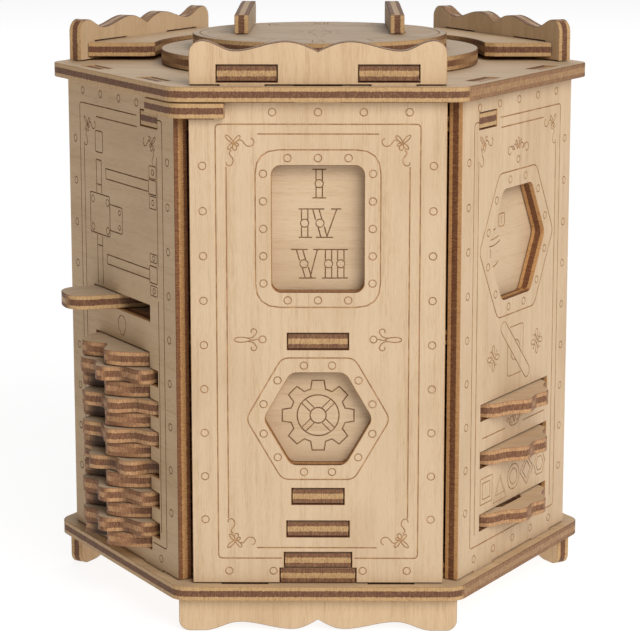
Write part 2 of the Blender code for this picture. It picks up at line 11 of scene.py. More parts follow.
import bmesh
import bpy
from mathutils import Matrix, Vector
from mathutils.geometry import delaunay_2d_cdt

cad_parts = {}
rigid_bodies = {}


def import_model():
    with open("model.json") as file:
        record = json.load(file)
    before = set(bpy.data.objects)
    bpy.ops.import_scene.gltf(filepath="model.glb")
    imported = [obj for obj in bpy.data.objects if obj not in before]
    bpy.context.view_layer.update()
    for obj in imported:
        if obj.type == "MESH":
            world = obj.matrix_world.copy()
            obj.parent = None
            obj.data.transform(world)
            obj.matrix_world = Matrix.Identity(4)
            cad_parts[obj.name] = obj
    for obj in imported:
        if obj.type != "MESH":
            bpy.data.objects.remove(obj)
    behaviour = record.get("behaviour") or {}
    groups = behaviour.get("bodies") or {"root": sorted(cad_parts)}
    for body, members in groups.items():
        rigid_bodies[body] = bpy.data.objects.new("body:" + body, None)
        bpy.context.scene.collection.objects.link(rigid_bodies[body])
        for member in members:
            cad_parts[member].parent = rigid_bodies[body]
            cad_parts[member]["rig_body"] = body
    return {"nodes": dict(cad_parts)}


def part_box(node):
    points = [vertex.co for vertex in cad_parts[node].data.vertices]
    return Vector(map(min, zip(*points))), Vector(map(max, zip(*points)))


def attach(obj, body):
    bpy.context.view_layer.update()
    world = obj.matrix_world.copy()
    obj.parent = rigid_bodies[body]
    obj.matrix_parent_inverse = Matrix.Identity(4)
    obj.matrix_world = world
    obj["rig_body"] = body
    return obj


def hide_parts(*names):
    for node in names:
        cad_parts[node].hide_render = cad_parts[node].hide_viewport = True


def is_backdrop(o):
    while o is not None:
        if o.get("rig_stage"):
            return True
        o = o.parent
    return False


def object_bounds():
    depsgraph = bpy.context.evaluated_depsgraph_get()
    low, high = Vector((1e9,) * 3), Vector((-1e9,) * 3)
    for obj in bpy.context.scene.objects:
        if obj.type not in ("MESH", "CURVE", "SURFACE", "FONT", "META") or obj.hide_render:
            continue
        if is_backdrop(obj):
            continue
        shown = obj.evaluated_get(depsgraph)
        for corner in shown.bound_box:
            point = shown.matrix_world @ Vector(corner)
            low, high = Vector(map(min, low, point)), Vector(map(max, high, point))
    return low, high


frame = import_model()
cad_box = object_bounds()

MM = 0.001
RIM = 0.14                # width of the eased rim along every cut edge
GROOVE = 0.22             # depth of the engraved lines
LINE = 0.36               # width of a plain engraved line
FINE = 0.28               # width of a line in an ornament
SOFT_TURN = math.radians(40)       # outline corners under this belong to a curve
STRAIGHT_TURN = math.radians(0.05)
CURVE_STEP = math.radians(3.5)
FLOOR_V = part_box("base_plate")[1].z / MM       # drawings on upright boards count from here

FRONT, FRONT_RIGHT, BACK_RIGHT, BACK, BACK_LEFT, FRONT_LEFT = (
    math.radians(turn) for turn in range(0, 360, 60))
SIDES = {"front": FRONT, "back_right": BACK_RIGHT, "back_left": BACK_LEFT}
ALONG, UP = 0.0, 90.0     # grain directions in a board's own plane, in degrees


# --- Outlines read from the frame -----------------------------------------------------
def flat_rings(node, turned):
    """Rings of a flat CAD piece in its own plane, outline anticlockwise and holes clockwise,
    with the heights of its two faces."""
    shape = bmesh.new()
    shape.from_mesh(frame["nodes"][node].data)
    shape.transform(Matrix.Scale(1 / MM, 4) @ turned.inverted())
    bmesh.ops.remove_doubles(shape, verts=shape.verts, dist=0.002)
    shape.normal_update()
    low = min(v.co.z for v in shape.verts)
    high = max(v.co.z for v in shape.verts)
    top = [f for f in shape.faces if f.normal.z > 0.9 and f.calc_center_median().z > high - 0.01]
    members = set(top)
    following = {}
    for face in top:
        for loop in face.loops:
            if not any(other in members for other in loop.edge.link_faces if other is not face):
                following[loop.vert] = loop.link_loop_next.vert
    rings = []
    while following:
        here = next(iter(following))
        ring = []
        while here in following:
            ring.append(Vector(here.co.xy))
            here = following.pop(here)
        rings.append(ring)
    shape.free()
    rings.sort(key=lambda ring: -abs(area(ring)))
    return rings, low, high


def area(ring):
    return sum(a.x * b.y - b.x * a.y for a, b in zip(ring, ring[1:] + ring[:1])) / 2


def turn_at(ring, i):
    here = ring[i]
    return abs((here - ring[i - 1]).angle_signed(ring[(i + 1) % len(ring)] - here, 0.0))


def refined(ring):
    """The same outline with straight runs cleaned up and curved runs drawn in finer steps."""
    ring = [p for i, p in enumerate(ring) if turn_at(ring, i) > STRAIGHT_TURN]
    count = len(ring)
    edges = [ring[(i + 1) % count] - ring[i] for i in range(count)]
    turns = [turn_at(ring, i) for i in range(count)]
    soft = [turn < SOFT_TURN for turn in turns]

    def curved(i):
        after = (i + 1) % count
        if not soft[i] and not soft[after]:
            return False
        if soft[i] and edges[i].length > 2.5 * edges[i - 1].length:
            return False
        return not (soft[after] and edges[i].length > 2.5 * edges[after].length)

    bends = [curved(i) for i in range(count)]

    def tangent(i):
        if not soft[i]:
            return None
        if not bends[i - 1]:
            return edges[i - 1].normalized()
        if not bends[i]:
            return edges[i].normalized()
        before, after = edges[i - 1], edges[i]
        return (before.normalized() * after.length + after.normalized() * before.length).normalized()

    outline = []
    for i in range(count):
        outline.append(ring[i])
        if not bends[i]:
            continue
        after = (i + 1) % count
        chord = edges[i].normalized()
        leave, arrive = tangent(i), tangent(after)
        leave = leave or (2 * chord - arrive).normalized()
        arrive = arrive or (2 * chord - leave).normalized()
        parts = math.ceil((turns[i] * soft[i] + turns[after] * soft[after]) / 2 / CURVE_STEP)
        parts = min(parts, 8, math.ceil(edges[i].length / 0.12))
        for k in range(1, parts):
            t = k / parts
            point = (2 * t**3 - 3 * t**2 + 1) * ring[i] + (3 * t**2 - 2 * t**3) * ring[after]
            point += (t**3 - 2 * t**2 + t) * leave * edges[i].length
            point += (t**3 - t**2) * arrive * edges[i].length
            outline.append(point)
    return outline


def rim_normals(ring):
    """For each point, the outward normals of the wall before it and after it; a curve has one."""
    count = len(ring)
    walls = []
    for i in range(count):
        along = (ring[(i + 1) % count] - ring[i]).normalized()
        walls.append(Vector((along.y, -along.x)))
    normals = []
    for i in range(count):
        if turn_at(ring, i) < SOFT_TURN:
            shared = (walls[i - 1] + walls[i]).normalized()
            normals.append((shared, shared))
        else:
            normals.append((walls[i - 1], walls[i]))
    return normals


def inset(ring, normals, width):
    points = []
    for point, (before, after) in zip(ring, normals):
        points.append(point - (before + after) * (width / (1 + before.dot(after))))
    return points


# --- Engraved lines -------------------------------------------------------------------
# A drawing is a list of lines, and a line is its points, whether it closes, and its width.
def line(*points, width=LINE, closed=False):
    return (list(points), closed, width)


def stroke(points, closed, width):
    """A line's outline as one four-sided patch for each of its stretches."""
    spots = [Vector(p) for p in points]
    count = len(spots)
    left, right = [], []
    for i in range(count):
        before = spots[i] - spots[i - 1] if closed or i else spots[1] - spots[0]
        after = spots[(i + 1) % count] - spots[i] if closed or i < count - 1 else before
        first, second = before.normalized(), after.normalized()
        side = Vector((-(first.y + second.y), first.x + second.x))
        side *= width / 2 / max(1.0, 1 + first.dot(second))
        left.append(spots[i] + side)
        right.append(spots[i] - side)
    patches = []
    for i in range(count if closed else count - 1):
        j = (i + 1) % count
        patch = (right[i], right[j], left[j], left[i])
        if not convex(patch):
            along = (spots[j] - spots[i]).normalized()
            side = Vector((-along.y, along.x)) * (width / 2)
            patch = (spots[i] - side, spots[j] - side, spots[j] + side, spots[i] + side)
        patches.append(patch)
    return patches


def convex(patch):
    turns = []
    for k in range(4):
        edge = patch[k] - patch[k - 1]
        turns.append(edge.cross(patch[(k + 1) % 4] - patch[k]) > 0)
    return all(turns)


def arc(x, y, radius, start, end, steps):
    turns = [math.radians(start + (end - start) * k / steps) for k in range(steps + 1)]
    return [(x + radius * math.cos(t), y + radius * math.sin(t)) for t in turns]


def rivet(x, y, radius=1.0, steps=16):
    return line(*arc(x, y, radius, 0, 360, steps)[:-1], width=FINE, closed=True)


def rivets(columns, rows):
    return [rivet(x, y) for x in columns for y in rows]


def rounded(corners, radius, closed=True, steps=4):
    """Points of a polygon or an open run whose corners are arcs of that radius."""
    points = []
    last = len(corners) - 1
    for i, corner in enumerate(corners):
        if not closed and i in (0, last):
            points.append(corner)
            continue
        here = Vector(corner)
        back = (Vector(corners[i - 1]) - here).normalized()
        ahead = (Vector(corners[(i + 1) % len(corners)]) - here).normalized()
        reach = radius / math.tan(back.angle(ahead) / 2)
        start, end = here + back * reach, here + ahead * reach
        for k in range(steps + 1):
            t = k / steps
            swell = (1 - t) ** 2 * start + 2 * t * (1 - t) * here + t**2 * end
            points.append(tuple(swell))
    return points


def frame_line(left, right, low, high, radius, width=LINE):
    corners = [(left, low), (right, low), (right, high), (left, high)]
    return line(*rounded(corners, radius), width=width, closed=True)


def hexagon_line(x, y, apothem, radius):
    corners = arc(x, y, apothem / math.cos(math.pi / 6), 0, 360, 6)[:-1]
    return line(*rounded(corners, radius), closed=True)


def hexagon_rivets(x, y, apothem, spread):
    found = []
    for k in range(6):
        turn = math.radians(60 * k + 30)
        for along in (-spread, spread):
            found.append(rivet(x + apothem * math.cos(turn) - along * math.sin(turn),
                               y + apothem * math.sin(turn) + along * math.cos(turn)))
    return found


def bezier(a, b, c, d, steps=8, width=FINE):
    points = []
    for k in range(steps + 1):
        t = k / steps
        weights = ((1 - t)**3, 3 * t * (1 - t)**2, 3 * t**2 * (1 - t), t**3)
        points.append(tuple(sum(w * p[i] for w, p in zip(weights, (a, b, c, d))) for i in (0, 1)))
    return line(*points, width=width)


def petal(x, y, degrees, length, width):
    """A leaf-shaped loop that starts at a point and reaches out at an angle."""
    turn = math.radians(degrees)
    points = []
    for k in range(14):
        round_way = 2 * math.pi * k / 14
        out = length * (1 - math.cos(round_way)) / 2
        across = width / 2 * math.sin(round_way) * (0.6 + 0.4 * out / length)
        points.append((x + out * math.cos(turn) - across * math.sin(turn),
                       y + out * math.sin(turn) + across * math.cos(turn)))
    return line(*points, width=FINE, closed=True)


def hook(x, y, radius, start, sweep, steps=9):
    """A curl that tightens as it turns, with its centre at a point."""
    points = []
    for k in range(steps + 1):
        t = k / steps
        turn = math.radians(start + sweep * t)
        reach = radius * (1 - 0.45 * t)
        points.append((x + reach * math.cos(turn), y + reach * math.sin(turn)))
    return line(*points, width=FINE)


def moved(drawing, x, y, across=1, up=1):
    """A drawing put at a point, and flipped where across or up is -1."""
    placed = []
    for points, closed, width in drawing:
        placed.append(([(x + across * px, y + up * py) for px, py in points], closed, width))
    return placed


def corner_flourish():
    """A sprig for a frame's upper left corner, with one curl to the right and one down."""
    sprig = [petal(0, 0, angle, length, 1.1) for angle, length in ((135, 2.9), (48, 2.6), (228, 2.2))]
    sprig += [petal(0, 0, -25, 1.5, 0.9), petal(0, 0, -75, 2.0, 1.3)]
    sprig += [bezier((1.4, 0.6), (2.6, 1.6), (2.6, -0.9), (4.2, -0.9)), hook(4.4, 0.5, 1.4, 260, 170)]
    sprig.append(bezier((-0.5, -1.9), (-2.4, -3.0), (0.6, -3.6), (-0.2, -5.2)))
    sprig.append(hook(-1.3, -5.2, 1.1, 0, -190))
    return sprig


def fleuron():
    """A long leaf pointing left between two curls, with a ring at its foot."""
    leaf = [petal(-0.6, 0, 180, 4.4, 1.7), rivet(2.6, 0.1, 0.95, 12)]
    leaf.append(bezier((-1.4, 0.5), (-0.2, 0.4), (0.6, 1.0), (0.9, 1.9)))
    leaf.append(bezier((-1.4, -0.5), (-0.2, -0.4), (0.6, -1.0), (0.9, -1.9)))
    leaf += [hook(0.1, 2.2, 1.0, -20, 230), hook(0.1, -2.2, 1.0, 20, -230)]
    leaf.append(bezier((-0.6, 0.0), (0.2, -0.5), (0.9, 0.4), (1.6, 0.1)))
    return leaf


def clover():
    """Four round leaves and four small curls about a ring."""
    found = [rivet(0, 0, 0.6, 10)]
    for k in range(4):
        turn = math.pi * k / 2
        found.append(petal(0.9 * math.cos(turn), 0.9 * math.sin(turn), 90 * k, 2.7, 1.7))
        turn = math.radians(90 * k + 45)
        x, y = 2.3 * math.cos(turn), 2.3 * math.sin(turn)
        found.append(hook(x, y, 0.8, 90 * k + 205, 230, 7))
    return found


def crown():
    """Two scrolls that rise to a point, over a small ring."""
    half = [bezier((0.7, 0.2), (1.6, 2.2), (2.6, 2.4), (3.4, 0.8)), hook(5.3, 0.2, 1.5, 150, -300)]
    half += [petal(0.4, 0.4, 62, 2.8, 0.9), petal(2.4, 0.3, 30, 2.2, 0.8)]
    return half + moved(half, 0, 0, across=-1) + [petal(0, 0.9, 90, 2.7, 1.1), rivet(0, -2.6, 0.95, 12)]


def double_scroll():
    half = [hook(1.7, 0.3, 1.3, 200, -320), bezier((0, -1.4), (1.4, -1.7), (2.8, -1.2), (3.3, 0.2))]
    half += [hook(4.1, 0.5, 0.8, 200, -260, 7)]
    return half + moved(half, 0, 0, across=-1) + [petal(0, -0.6, 90, 2.4, 1.2)]


NUMERAL_SPREAD = 0.85     # half the distance between the two lines of a thick stroke
NUMERAL_LINE = 0.34
NUMERAL_RING = 1.1


def thick_stroke(x, low, high, lean=0.0):
    """A thick numeral stroke: two lines with a ring where the light would shine through."""
    middle = (low + high) / 2
    clear = NUMERAL_RING * 0.8
    found = [rivet(x + lean / 2, middle, NUMERAL_RING)]
    for side in (-NUMERAL_SPREAD, NUMERAL_SPREAD):
        for near, far, share in ((high, middle + clear, 0.36), (low, middle - clear, 0.64)):
            root = x + side + (0 if near == high else lean)
            found.append(line((root, near), (x + side + lean * share, far), width=NUMERAL_LINE))
    return found


def numeral_board():
    """Roman one, four and seven, one above the other."""
    rows = ((114.0, 106.3), (103.3, 95.6), (92.3, 84.5))
    found = []
    high, low = rows[0]
    found += thick_stroke(0.3, low, high) + serifs(high, (-1.5, 2.2)) + serifs(low, (-1.5, 2.2))
    high, low = rows[1]
    found += thick_stroke(-3.6, low, high) + thick_stroke(-0.6, low, high, 2.2)
    found += [line((5.0, high), (2.3, low), width=NUMERAL_LINE)]
    found += serifs(high, (-5.2, 1.7), (3.5, 6.2)) + serifs(low, (-5.2, -1.6), (-0.6, 4.0))
    high, low = rows[2]
    found += thick_stroke(-5.0, low, high, 2.4)
    found += [line((-0.2, high), (-2.2, low), width=NUMERAL_LINE)]
    found += thick_stroke(2.8, low, high) + thick_stroke(6.1, low, high)
    found += serifs(high, (-7.3, -2.8), (-1.3, 8.0)) + serifs(low, (-5.2, -0.6), (1.1, 8.0))
    return found


def serifs(height, *runs):
    return [line((left, height), (right, height), width=NUMERAL_LINE) for left, right in runs]


def gear_board(x, y):
    """A toothed wheel with four spokes."""
    teeth = []
    for k in range(8):
        middle = 45 * k
        for radius, step in ((7.6, -15.5), (9.9, -9.5), (9.9, 9.5), (7.6, 15.5)):
            teeth.append(arc(x, y, radius, middle + step, middle + step, 1)[0])
    found = [line(*teeth, closed=True)]
    for radius, steps in ((5.7, 32), (2.2, 18)):
        found.append(line(*arc(x, y, radius, 0, 360, steps)[:-1], closed=True))
    for k in range(4):
        turn = math.radians(90 * k + 45)
        out, side = Vector((math.cos(turn), math.sin(turn))), Vector((-math.sin(turn), math.cos(turn)))
        for sign in (-0.75, 0.75):
            root, tip = out * 2.25 + side * sign, out * 5.45 + side * sign
            found.append(line((x + root.x, y + root.y), (x + tip.x, y + tip.y), width=FINE))
    return found


def picture_board():
    """A hanging lamp, a window, and a bird over a few waves."""
    found = [line((-9, 104.5), (-9, 97)), line((-6.5, 104.5), (-6.5, 98))]
    found.append(frame_line(-3.0, 0.6, 94.0, 97.6, 0.8))
    found.append(line((-1.3, 94.6), (-1.3, 97.0), width=FINE))
    found.append(bezier((-11.2, 93.6), (-9.5, 94.2), (-7.5, 93.2), (-5, 93.8), width=LINE))
    found.append(bezier((-11.6, 91.6), (-9, 90.6), (-6, 90.8), (-3, 91.6), width=LINE))
    found.append(bezier((-12, 90.0), (-9, 88.8), (-5.5, 88.8), (-2, 90.2), width=LINE))
    found.append(line((-8, 88.4), (-8, 84.4), width=FINE))
    found.append(rivet(-8, 83.2, 1.1))
    found.append(bezier((-12.4, 84.2), (-11.2, 82.6), (-10.2, 83.4), (-9.3, 83.2), width=LINE))
    found.append(bezier((-6.7, 83.2), (-5.6, 83.2), (-4.6, 83.2), (-3.2, 84.2), width=LINE))
    return found


# --- Drawings on the panels -----------------------------------------------------------
RIVET_STEP = 12.15
SIDE_RIVETS = [18.3 + RIVET_STEP * k for k in range(9)]
END_RIVETS = (-24.3, -12.2, 12.2, 24.3)


def front_drawing():
    border = [(9.9, 7.3), (27.2, 7.3), (27.2, 126.6), (-27.2, 126.6), (-27.2, 7.3), (-9.9, 7.3)]
    found = [line(*rounded(border, 1.2, closed=False))]
    found += [line((sign * 24.4, 18.6), (sign * 24.4, 115.2)) for sign in (-1, 1)]
    found += [line((-16.0, 124.0), (16.2, 124.0)), line((-16.7, 10.3), (16.0, 10.3))]
    found += rivets((-30.7, 30.7), SIDE_RIVETS) + rivets((0, 12.1, 24.2), (129.8,))
    found += rivets((-12.1,), (129.8,)) + rivets(END_RIVETS, (3.7,))
    for sign in (-1, 1):
        found += moved(corner_flourish(), sign * 22.4, 121.6, across=-sign)
        found += moved(corner_flourish(), sign * 22.6, 12.4, across=-sign, up=-1)
        found += moved(fleuron(), sign * 17.5, 68.4, across=-sign)
    found += [frame_line(-16.7, 16.7, 77.3, 119.8, 6.5)]
    found += rivets((-14.6, 14.6), [83.8 + 7.4 * k for k in range(5)])
    found += rivets((-8.1, 0, 8.1), (79.2, 117.6))
    found += [hexagon_line(0, 46.5, 16.9, 3.4)] + hexagon_rivets(0, 46.5, 14.8, 3.8)
    return found


def front_left_drawing():
    border = [(18.3, 7), (27, 7), (27, 126.3), (24.4, 126.3)]
    rest = [(11.5, 126.3), (-26.2, 126.3), (-26.2, 7), (-18.3, 7)]
    found = [line(*rounded(border, 1.2, closed=False)), line(*rounded(rest, 1.2, closed=False))]
    found += [line((-23.6, 11), (-23.6, 115)), line((23.7, 11), (23.7, 76.5))]
    found += [line((23.7, 86), (23.7, 116)), line((-15, 123.2), (11.6, 123.2))]
    found += rivets((-29.6, 30), SIDE_RIVETS) + rivets((-24, -12, 0, 11.5), (129.8,))
    found += rivets((-23.3, 23.3), (3.4,))
    found += moved(corner_flourish(), -21.2, 120.4) + moved(corner_flourish(), 20.8, 119.4, across=-1)
    return found + safe_door()


def safe_door():
    """Bolts, clamps and a hinge, drawn as on a strong-room door."""
    found = [frame_line(-16, -11, 113.2, 119.2, 0.8)]
    found += [line((-15.6, 75.4), (-15.6, 89.4)), line((-12.2, 75.4), (-12.2, 89.4))]
    found += [line((-15.6, 101.6), (-15.6, 111), (-12.2, 111), (-12.2, 101.6))]
    found += [line((-15.6, 86.5), (-12.2, 86.5)), line((-15.6, 104), (-12.2, 104))]
    found += [frame_line(-20, -7, 89.8, 101.3, 0.6), frame_line(-6.9, 1.2, 91.8, 99.2, 0.5)]
    found += rivets((-18.3, -8.4), (91.4, 99.4)) + [rivet(-0.6, y, 0.7, 12) for y in (93.4, 97.6)]
    for low, high in ((106.2, 109.1), (81.9, 84.6)):
        found += [line((-9.2, low), (18.2, low)), line((-9.2, high), (18.2, high))]
        found.append(line((-9.2, low), (-9.2, high)))
    for low, high in ((110, 113.4), (101.7, 105.1), (86.9, 89.2), (77.6, 80.3)):
        found.append(frame_line(18.8, 23.1, low, high, 0.4, FINE))
        found.append(rivet(21, (low + high) / 2, 0.75, 12))
    found += [frame_line(18.4, 23.1, 81.1, 85.8, 0.4), frame_line(18.4, 23.1, 105.6, 109.6, 0.4)]
    keyhole = arc(0, 66, 2.5, 232, -52, 14)
    found.append(line(*keyhole, (0.9, 63.0), (-0.9, 63.0), width=FINE, closed=True))
    return found


def front_right_drawing():
    border = [(-11.5, 125.8), (27, 125.8), (27, 7.2), (-27, 7.2), (-27, 125.8), (-24.4, 125.8)]
    found = [line(*rounded(border, 1.2, closed=False)), line((-11, 123), (16, 123))]
    found += [line((sign * 24.3, 10.5), (sign * 24.3, 115.2)) for sign in (-1, 1)]
    found += rivets((-30, 30.2), SIDE_RIVETS) + rivets((-24, -12, 0, 12, 24), (129.7,))
    found += rivets((-24.4, -12.4, 0, 11.6, 24), (3.8,))
    found += moved(corner_flourish(), 22, 121, across=-1) + moved(corner_flourish(), -21.4, 119.6)
    found += moved(crown(), 0, 115.6)
    found += [hexagon_line(0, 90, 20.2, 3.4)] + hexagon_rivets(0, 90, 17.9, 4.8)
    found += crank(0, 58.9) + moved(clover(), -13.9, 58.9) + moved(clover(), 13.9, 58.9)
    found += moved(double_scroll(), 0, 38.6)
    found += [line((-20, 37.3), (-5.8, 37.3)), line((5.4, 37.3), (19.5, 37.3))]
    return found + shape_row(22.0)


def crank(x, y):
    """A round knob on a square plate, with a bar across it."""
    bar, half, reach = math.radians(-45), 1.8, 10.6
    out, side = Vector((math.cos(bar), math.sin(bar))), Vector((-math.sin(bar), math.cos(bar)))
    points = []
    for sign in (1, -1):
        for k in range(9):
            turn = math.radians(-90 + 180 * k / 8)
            spot = sign * (out * (reach + half * math.cos(turn)) + side * half * math.sin(turn))
            points.append((x + spot.x, y + spot.y))
    found = [line(*points, width=FINE, closed=True)]
    found.append(line(*arc(x, y, 2.9, -5, 95, 7), width=FINE))
    found.append(line(*arc(x, y, 2.9, 175, 275, 7), width=FINE))
    found.append(line(*rounded([(-3.6, 7.0), (4.9, 7.0), (4.9, -2.4)], 1.2, closed=False), width=FINE))
    found.append(line(*rounded([(3.6, -7.0), (-4.9, -7.0), (-4.9, 2.4)], 1.2, closed=False), width=FINE))
    return found[:3] + moved(found[3:], x, y)


def shape_row(y):
    """Five plain shapes in a row, each drawn twice, one inside the other."""
    found = []
    for size in (3.7, 2.3):
        shapes = [[(-size, -size), (size, -size), (size, size), (-size, size)],
                  [(-1.15 * size, -size), (1.15 * size, -size), (0, size)],
                  arc(0, 0, size, 0, 360, 24)[:-1],
                  [(0, -1.15 * size), (1.15 * size, 0), (0, 1.15 * size), (-1.15 * size, 0)],
                  arc(0, 0, size, 0, 360, 6)[:-1]]
        for k, points in enumerate(shapes):
            drawing = [line(*points, width=FINE, closed=True)]
            found += moved(drawing, -17.2 + 8.6 * k, y - (0.35 * size if k == 1 else 0))
    return found


def back_drawing():
    border = frame_line(-27, 27, 7.3, 126.3, 1.2)
    inner = [line((sign * 24.3, 18.6), (sign * 24.3, 115.2)) for sign in (-1, 1)]
    inner += [line((-16.2, height), (16.2, height)) for height in (10.3, 123.6)]
    found = [border] + inner
    found += rivets((-30.6, 30.6), SIDE_RIVETS[1:-1]) + rivets(END_RIVETS, (3.7, 129.8))
    for sign in (-1, 1):
        found += moved(corner_flourish(), sign * 22.4, 121.2, across=-sign)
        found += moved(corner_flourish(), sign * 22.4, 12.6, across=-sign, up=-1)
    return found


def dial_drawing():
    """Two rings with twelve numerals between them, and a star in the middle."""
    found = [line(*arc(0, 0, radius, 0, 360, 96)[:-1], closed=True) for radius in (34.4, 24.6)]
    numerals = ("XII", "I", "II", "III", "IV", "V", "VI", "VII", "VIII", "IX", "X", "XI")
    for k, numeral in enumerate(numerals):
        found += radial_numeral(numeral, 90 - 30 * k, 26.6, 32.4)
    points = []
    for k in range(16):
        radius = 19.5 if k % 4 == 0 else 12.0 if k % 2 == 0 else 5.0
        points += arc(0, 0, radius, 22.5 * k + 90, 22.5 * k + 90, 1)[:1]
    found.append(line(*points, width=FINE, closed=True))
    found.append(line(*arc(0, 0, 3.2, 0, 360, 24)[:-1], closed=True))
    return found


def radial_numeral(numeral, degrees, low, high):
    """A Roman numeral that stands on a dial's inner ring, read from the middle."""
    widths = {"I": 0.0, "V": 2.4, "X": 2.4}
    gap = 1.0
    total = sum(widths[c] for c in numeral) + gap * (len(numeral) - 1)
    turn = math.radians(degrees)
    out, across = Vector((math.cos(turn), math.sin(turn))), Vector((math.sin(turn), -math.cos(turn)))
    found = []
    x = -total / 2
    for letter in numeral:
        wide = widths[letter]
        runs = {"I": (((0, low), (0, high)),),
                "V": (((0, high), (wide / 2, low)), ((wide / 2, low), (wide, high))),
                "X": (((0, low), (wide, high)), ((0, high), (wide, low)))}[letter]
        for run in runs:
            spots = [across * (x + px) + out * py for px, py in run]
            found.append(line(*[(p.x, p.y) for p in spots], width=FINE))
        x += wide + gap
    return found


# --- Boards ---------------------------------------------------------------------------
def cut_face(rings, patches):
    """Triangles of a board's face in the plane: points, plain triangles, and engraved ones."""
    points, faces = [], []
    for ring in rings:
        start = len(points)
        points += ring
        indices = list(range(start, len(points)))
        faces.append(indices if area(ring) > 0 else indices[::-1])
    for patch in patches:
        start = len(points)
        points += patch
        faces.append(list(range(start, start + 4)))
    spots, _, found, came_from, _, inside = delaunay_2d_cdt(points, [], faces, 1, 0.00002)
    plain, engraved = [], []
    for triangle, within in zip(found, inside):
        if 0 not in within or any(0 < face < len(rings) for face in within):
            continue
        (engraved if any(face >= len(rings) for face in within) else plain).append(triangle)
    where = {}
    for index, sources in enumerate(came_from):
        for source in sources:
            where[source] = index
    return spots, plain, engraved, where


def board_mesh(name, rings, half, drawing, grain, seed):
    """A board between -half and +half, engraved on its upper face."""
    verts, faces, kinds, cuts = [], [], [], []
    g = Vector((math.cos(math.radians(grain)), math.sin(math.radians(grain))))

    def vert(point, z):
        verts.append((point[0], point[1], z))
        return len(verts) - 1

    def face(corners, kind, cut=(0.0,)):
        faces.append(corners)
        kinds.append(kind)
        cuts.extend(cut if len(cut) > 1 else cut * len(corners))

    normals = [rim_normals(ring) for ring in rings]
    inner = [inset(ring, normal, RIM) for ring, normal in zip(rings, normals)]
    patches = [patch for points, closed, width in drawing for patch in stroke(points, closed, width)]
    rim_tops, rim_lows = [], []
    for side, marks, store in ((1, patches, rim_tops), (-1, [], rim_lows)):
        spots, plain, engraved, where = cut_face(inner, marks)
        top = {}
        for triangle in plain:
            for v in triangle:
                if v not in top:
                    top[v] = vert(spots[v], side * half)
            corners = [top[v] for v in triangle]
            face(corners if side > 0 else corners[::-1], 0)
        start = 0
        for ring in inner:
            for k in range(len(ring)):
                spot = where[start + k]
                if spot not in top:
                    top[spot] = vert(spots[spot], side * half)
            store.append([top[where[start + k]] for k in range(len(ring))])
            start += len(ring)
        sink_grooves(spots, engraved, top, side * half, vert, face)
    for ring, normal, high, low in zip(rings, normals, rim_tops, rim_lows):
        upper = [vert(point, half - RIM) for point in ring]
        lower = [vert(point, RIM - half) for point in ring]
        count = len(ring)
        for i in range(count):
            j = (i + 1) % count
            here, there = normal[i][1].dot(g)**2, normal[j][0].dot(g)**2
            for below, above in ((low, lower), (lower, upper), (upper, high)):
                face([below[i], below[j], above[j], above[i]], 1, (here, there, there, here))
    return finished_mesh(name, verts, faces, kinds, cuts, g, seed)


def sink_grooves(spots, engraved, top, height, vert, face):
    """Floors and walls of the engraved lines."""
    floor = {}
    directed = set()
    for triangle in engraved:
        for k in range(3):
            directed.add((triangle[k], triangle[(k + 1) % 3]))
    for triangle in engraved:
        for v in triangle:
            if v not in floor:
                floor[v] = vert(spots[v], height - GROOVE)
        face([floor[v] for v in triangle], 2)
        for k in range(3):
            a, b = triangle[k], triangle[(k + 1) % 3]
            if (b, a) in directed:
                continue
            for v in (a, b):
                if v not in top:
                    top[v] = vert(spots[v], height)
            face([floor[b], floor[a], top[a], top[b]], 2)


def finished_mesh(name, verts, faces, kinds, cuts, grain, seed):
    mesh = bpy.data.meshes.new(name)
    mesh.from_pydata([(x * MM, y * MM, z * MM) for x, y, z in verts], [], faces)
    mesh.polygons.foreach_set("material_index", kinds)
    wood = mesh.attributes.new("wood", "FLOAT_VECTOR", "POINT")
    shift_x, shift_y = 61.7 * seed % 997, 37.3 * seed % 887
    flat = []
    for x, y, z in verts:
        flat += [x * grain.x + y * grain.y + shift_x, y * grain.x - x * grain.y + shift_y, z]
    wood.data.foreach_set("vector", flat)
    cut = mesh.attributes.new("cut", "FLOAT", "CORNER")
    cut.data.foreach_set("value", cuts)
    mesh.shade_smooth()
    mesh.set_sharp_from_angle(angle=math.radians(30))
    return mesh


boards_made = []


def board(node, side=0.0, lying=False, grain=ALONG, drawing=()):
    """Replaces a flat CAD piece by a detailed board, which rides on the piece's own body."""
    turned = Matrix.Rotation(side, 4, "Z")
    if not lying:
        turned = turned @ Matrix.Rotation(math.pi / 2, 4, "X")
    rings, low, high = flat_rings(node, turned)
    base = 0.0 if lying else FLOOR_V
    rings = [[p - Vector((0, base)) for p in refined(ring)] for ring in rings]
    half = (high - low) / 2
    mesh = board_mesh(node + "_board", rings, half, drawing, grain, len(boards_made) + 1)
    for kind in ("face", "edge", "engraved"):
        mesh.materials.append(wood_material(kind, tone_of(node, kind)))
    piece = bpy.data.objects.new(node + "_board", mesh)
    bpy.context.scene.collection.objects.link(piece)
    centre = Vector((0, base, (low + high) / 2)) * MM
    piece.matrix_world = turned @ Matrix.Translation(centre)
    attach(piece, frame["nodes"][node]["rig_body"])
    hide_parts(node)
    boards_made.append(piece)
    return piece


